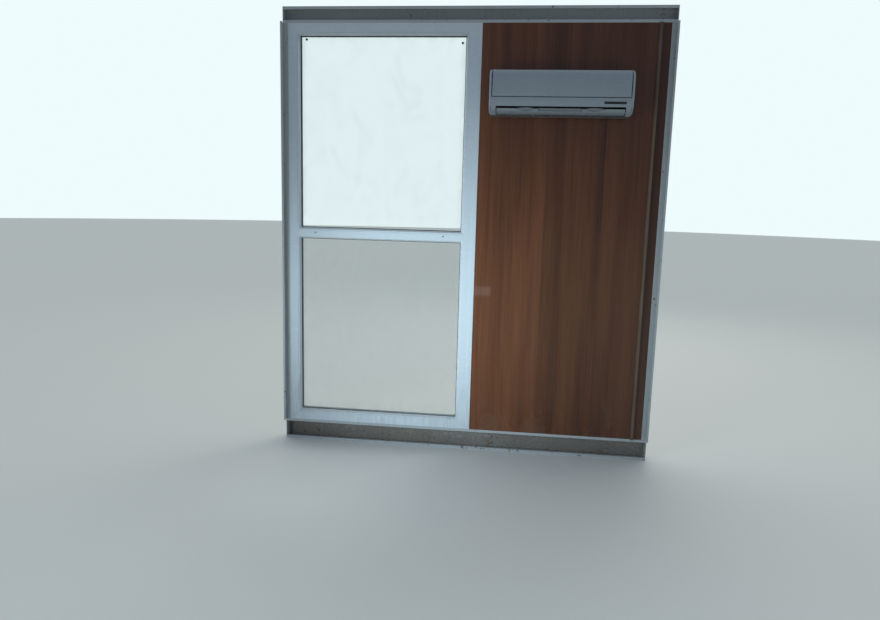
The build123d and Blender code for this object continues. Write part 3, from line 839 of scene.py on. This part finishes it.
class SITECABIN_OT_outer_skin(bpy.types.Operator):
    """Finish the ribbed sheet and its trims and set their screws and rivets"""

    bl_idname = "site_cabin.outer_skin"
    bl_label = "Outer Skin"

    def execute(self, context):
        sizes = context.scene.site_cabin_sizes
        dress("sheet_paint", sizes.edge / 2, "ribbed_cladding", "outer_window_trim", "drip_sill")
        low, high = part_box("ribbed_cladding")
        ribs = int((high.x - low.x) // sizes.rib_pitch)
        first = (low.x + high.x - (ribs - 1) * sizes.rib_pitch) / 2
        valley = low.y + sizes.sheet
        floor_lap, roof_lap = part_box("floor_beam")[1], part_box("roof_beam")[0]
        screws = Shape()
        for row, z in enumerate(spread(low.z, high.z, sizes.screw_margin, SHEET_SCREW_ROWS)):
            for rib in range(ribs - 1):
                x = first + (rib + 0.5) * sizes.rib_pitch
                sheet_screw(screws, stand_at(x, valley, z, OUTDOORS, 0.7 * rib + 1.9 * row),
                            sizes.hexagon, sizes.washer)
        for z in ((low.z + floor_lap.z) / 2, (high.z + roof_lap.z) / 2):
            for rib in range(ribs):
                x = first + rib * sizes.rib_pitch
                sheet_screw(screws, stand_at(x, floor_lap.y, z, OUTDOORS, 1.3 * rib),
                            sizes.hexagon, sizes.washer)
        screws.make("sheet_screws", "wall", "zinc")
        rivets = Shape()
        low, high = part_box("outer_window_trim")
        for x in (low.x + sizes.rivet_inset, high.x - sizes.rivet_inset):
            for z in spread(low.z, high.z, sizes.trim_margin, FLASHING_RIVETS):
                rivet(rivets, stand_at(x, high.y, z, OUTDOORS), sizes.rivet)
        flange = high.y
        low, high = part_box("drip_sill")
        z = high.z - sizes.rivet_inset / 2
        for x in spread(low.x, high.x, sizes.drip_margin, DRIP_RIVETS):
            rivet(rivets, stand_at(x, flange, z, OUTDOORS), sizes.rivet)
        rivets.make("trim_rivets", "wall", "zinc")
        return {"FINISHED"}


class SITECABIN_OT_air_conditioner(bpy.types.Operator):
    """Finish the air conditioner's outer parts and mounting plate, and lay painted shadows under the
    flap's pads
    """

    bl_idname = "site_cabin.air_conditioner"
    bl_label = "Air Conditioner"

    def execute(self, context):
        sizes = context.scene.site_cabin_sizes
        dress("ac_shell", sizes.shell_edge, "ac_housing")
        dress("ac_shell", sizes.edge, "ac_front_panel")
        dress("ac_shell", sizes.edge / 2, "ac_louvre_flap")
        dress("ac_shell", sizes.edge / 4, "ac_intake_grille")
        dress("ac_display", sizes.edge / 4, "ac_display_window")
        dress("galvanised_sheet", sizes.edge / 2, "ac_mounting_plate")
        self.pad_shadows(context.scene.site_cabin_flap)
        return {"FINISHED"}

    def pad_shadows(self, flap):
        """Lay a dark strip along the lower edge of each pad on the flap, as a painted shadow."""
        swing = next(joint for joint in frame["joints"] if joint["name"] == "ac_flap_swing")
        up = Vector((0, -math.sin(flap.lean), math.cos(flap.lean)))
        out = Vector((0, -math.cos(flap.lean), -math.sin(flap.lean)))
        half = flap.chord / 2
        edge = Vector(swing["pos_m"]) + up * half

        def on_flap(aside, down, lift):
            bulge = flap.bow * (1 - ((half - down) / half) ** 2) + flap.sheet / 2
            return edge + EAST * aside - up * down + out * (bulge + lift)

        reach = flap.bar / 2
        wide, deep = reach + flap.seam, flap.drop + flap.seam
        outlines = [[((-reach, 0), (-wide, 0)), ((-reach, flap.drop), (-wide, deep)),
                     ((reach, flap.drop), (wide, deep)), ((reach, 0), (wide, 0))]]
        for side in (-1, 1):
            outline = []
            for step in range(-LENS_STEPS, LENS_STEPS + 1):
                share = step / LENS_STEPS
                aside = side * flap.lens_spacing / 2 + flap.lens / 2 * share
                down = flap.drop * (1 - share ** 2)
                width = flap.seam * (1 - SHADOW_TAPER * share ** 2)
                outline.append(((aside, down), (aside, down + width)))
            outlines.append(outline)
        shadow_strips = Shape()
        for outline in outlines:
            loops = []
            for inner, outer in outline:
                loops.append([on_flap(*inner, -flap.shadow_standoff), on_flap(*inner, flap.shadow_standoff),
                              on_flap(*outer, flap.shadow_standoff), on_flap(*outer, -flap.shadow_standoff)])
            shadow_strips.skin(loops)
        shadow_strips.make("flap_pad_painted_shadows", "ac_flap", "ac_dark")


class SITECABIN_OT_unit_inside(bpy.types.Operator):
    """Finish the coil, fan and filters and add fins and netting"""

    bl_idname = "site_cabin.unit_inside"
    bl_label = "Unit Inside"

    def execute(self, context):
        sizes = context.scene.site_cabin_sizes
        dress("coil_fins", 0, "ac_coil")
        dress("ac_dark", 0, "ac_fan", "ac_air_vanes")
        dress("ac_dark", sizes.edge / 4, "ac_left_filter", "ac_right_filter")
        low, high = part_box("ac_coil")
        half, front = sizes.fin / 2, low.y - sizes.fin_reach
        fins = Shape()
        for fin in range(1, int((high.x - low.x) / sizes.fin_pitch)):
            x = low.x + fin * sizes.fin_pitch
            fins.box((x - half, front, low.z), (x + half, low.y, high.z))
        fins.make("coil_fin_edges", "wall", "coil_fins")
        thread, margin = sizes.thread, sizes.net_margin
        for side in ("left", "right"):
            low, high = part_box(f"ac_{side}_filter")
            depth = (low.y + high.y) / 2
            net = Shape()
            for column in range(1, int((high.x - low.x) / sizes.net_pitch)):
                x = low.x + column * sizes.net_pitch
                net.box((x - thread, depth - thread, low.z + margin),
                        (x + thread, depth + thread, high.z - margin))
            for row in range(1, int((high.z - low.z) / sizes.net_pitch)):
                z = low.z + row * sizes.net_pitch
                net.box((low.x + margin, depth - thread, z - thread),
                        (high.x - margin, depth + thread, z + thread))
            net.make(f"{side}_filter_net", "wall", "ac_dark")
        return {"FINISHED"}


class SITECABIN_OT_studio(bpy.types.Operator):
    """Lay the floor and set the lights and the camera"""

    bl_idname = "site_cabin.studio"
    bl_label = "Studio"

    def execute(self, context):
        studio = context.scene.site_cabin_studio
        self.lay_floor(studio)
        self.light_air(studio)
        key = self.soft_light("key_light", position=(-1.4, -2.2, 1.0), target=(-0.1, -0.1, 0.9),
                              size=1.05, watts=studio.key, spread=62)
        key.color = studio.daylight
        top = self.soft_light("ceiling_light", position=(0.0, -4.8, 6.5), target=(0.0, -4.5, 0.0),
                              size=6.0, watts=studio.fill, spread=85)
        top.color = studio.skylight
        self.soft_light("back_light", position=(1.6, 4.6, 5.0), target=(0.0, 0.0, 1.3),
                        size=3.0, watts=studio.back, spread=180)
        self.set_camera(studio)
        return {"FINISHED"}

    @staticmethod
    def lay_floor(studio):
        """A wide round floor with a faint speckle."""
        paint = new_finish("studio_floor")
        speckle = paint.noise((300, 300, 300), 3, 0.6)
        tint = paint.mix(speckle * 0.06, studio.floor, studio.speck)
        paint.finish(paint.surface(tint, 0.75, paint.relief(speckle, 0.0001)))
        disc = bmesh.new()
        bmesh.ops.create_circle(disc, cap_ends=True, segments=FLOOR_SIDES,
                                radius=studio.floor_size)
        mesh = bpy.data.meshes.new("studio_floor")
        disc.to_mesh(mesh)
        disc.free()
        mesh.materials.append(finish_named("studio_floor"))
        floor = bpy.data.objects.new("studio_floor", mesh)
        bpy.context.scene.collection.objects.link(floor)

    @staticmethod
    def light_air(studio):
        """Light all round, which is bright outdoors and dim on the room's side."""
        world = bpy.data.worlds.new("studio_air")
        world.use_nodes = True
        bpy.context.scene.world = world
        air = Recipe(world.node_tree)
        depth = air.axes(air.add("ShaderNodeTexCoord", output="Generated"))[1]
        glow = air.mix(air.between(depth, -0.5, 0.5), studio.indoors, studio.outdoors)
        light = air.add("ShaderNodeBackground", {}, {"Color": glow})
        air.add("ShaderNodeOutputWorld", {}, {"Surface": light})

    @staticmethod
    def soft_light(name, position, target, size, watts, spread):
        """A large square light that faces a point and spreads over so many degrees. Glass and
        gloss mirror the studio's air, not the lamps."""
        light = bpy.data.lights.new(name, "AREA")
        light.size = size
        light.energy = watts
        light.spread = math.radians(spread)
        lamp = bpy.data.objects.new(name, light)
        lamp.visible_glossy = False
        lamp.visible_transmission = False
        lamp.location = position
        towards = Vector(target) - Vector(position)
        lamp.rotation_euler = towards.to_track_quat("-Z", "Y").to_euler()
        bpy.context.scene.collection.objects.link(lamp)
        return light

    @staticmethod
    def set_camera(studio):
        """Put the camera in its place and give it plain colours."""
        lens = bpy.data.cameras.new("camera")
        lens.lens = studio.lens
        lens.sensor_width = SENSOR_WIDTH
        camera = bpy.data.objects.new("camera", lens)
        tilt = Euler((math.pi / 2 + studio.pitch, 0, -studio.heading), "XYZ")
        rolled = Matrix.Rotation(studio.roll, 4, "Z")
        camera.matrix_world = (Matrix.Translation(studio.camera) @ tilt.to_matrix().to_4x4()
                               @ rolled)
        scene = bpy.context.scene
        scene.collection.objects.link(camera)
        scene.camera = camera
        scene.view_settings.view_transform = "Standard"


STEPS = (
    SITECABIN_OT_finishes, SITECABIN_OT_steel_portal, SITECABIN_OT_window_frame,
    SITECABIN_OT_glazing, SITECABIN_OT_lining, SITECABIN_OT_outer_skin,
    SITECABIN_OT_air_conditioner, SITECABIN_OT_unit_inside, SITECABIN_OT_studio,
)


class SITECABIN_PT_sidebar(bpy.types.Panel):
    """Settings and operators of the wall"""

    bl_idname = "SITECABIN_PT_sidebar"
    bl_label = "Site Cabin"
    bl_space_type = "VIEW_3D"
    bl_region_type = "UI"
    bl_category = "Site Cabin"

    def draw(self, context):
        for step in STEPS:
            self.layout.operator(step.bl_idname)
        for settings in (context.scene.site_cabin_colours, context.scene.site_cabin_sizes,
                         context.scene.site_cabin_flap, context.scene.site_cabin_studio):
            box = self.layout.box()
            for name in settings.__annotations__:
                box.prop(settings, name)


CLASSES = (SiteCabinColours, SiteCabinSizes, SiteCabinFlap, SiteCabinStudio, *STEPS,
           SITECABIN_PT_sidebar)


def register():
    for item in CLASSES:
        bpy.utils.register_class(item)
    bpy.types.Scene.site_cabin_colours = PointerProperty(type=SiteCabinColours)
    bpy.types.Scene.site_cabin_sizes = PointerProperty(type=SiteCabinSizes)
    bpy.types.Scene.site_cabin_flap = PointerProperty(type=SiteCabinFlap)
    bpy.types.Scene.site_cabin_studio = PointerProperty(type=SiteCabinStudio)


def unregister():
    del bpy.types.Scene.site_cabin_studio
    del bpy.types.Scene.site_cabin_flap
    del bpy.types.Scene.site_cabin_sizes
    del bpy.types.Scene.site_cabin_colours
    for item in reversed(CLASSES):
        bpy.utils.unregister_class(item)


def main():
    """Build the looks piece by piece."""
    register()
    bpy.ops.site_cabin.finishes()
    bpy.ops.site_cabin.steel_portal()
    bpy.ops.site_cabin.window_frame()
    bpy.ops.site_cabin.glazing()
    bpy.ops.site_cabin.lining()
    bpy.ops.site_cabin.outer_skin()
    bpy.ops.site_cabin.air_conditioner()
    bpy.ops.site_cabin.unit_inside()
    bpy.ops.site_cabin.studio()


if __name__ == "__main__":
    main()
